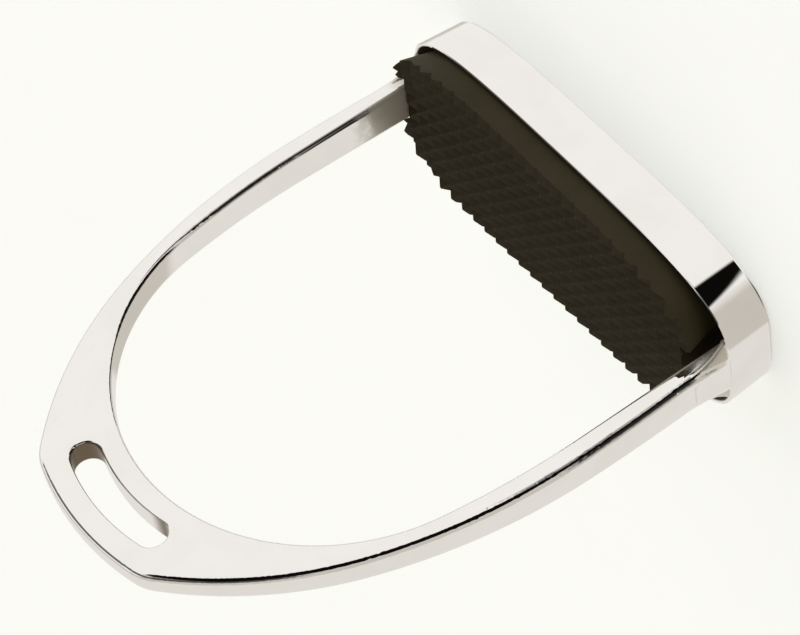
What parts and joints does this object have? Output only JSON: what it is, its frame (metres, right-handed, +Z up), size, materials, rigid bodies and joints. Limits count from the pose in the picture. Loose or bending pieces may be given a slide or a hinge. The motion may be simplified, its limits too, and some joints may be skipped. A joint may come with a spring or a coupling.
{
  "type": "stirrup iron",
  "caption": "Polished stirrup iron: a tapering bow with a curved leather slot, an oval tread ring with a pierced floor, and a studded rubber tread pad that lifts out.",
  "frame": {"origin": "centre of the footprint, on the underside of the tread ring", "axes": "+Z up from the tread to the eye, X along the tread from branch to branch, -Y the face with the foot entry nearest the viewer"},
  "size_m": [0.1314, 0.05, 0.1613],
  "materials": {
    "polished_steel": "mirror-polished stainless steel",
    "plain_steel": "satin stainless steel, as cast",
    "tread_rubber": "matt dark olive-brown rubber"
  },
  "bodies": {
    "iron": {"bow": "polished_steel", "tread_ring": "polished_steel", "tread_floor": "plain_steel"},
    "pad": {"tread_pad": "tread_rubber"}
  },
  "joints": [
    {"name": "tread_pad_lift", "type": "slide", "parent": "iron", "child": "pad", "axis": [0, 0, 1], "range_m": [0, 0.02]}
  ]
}
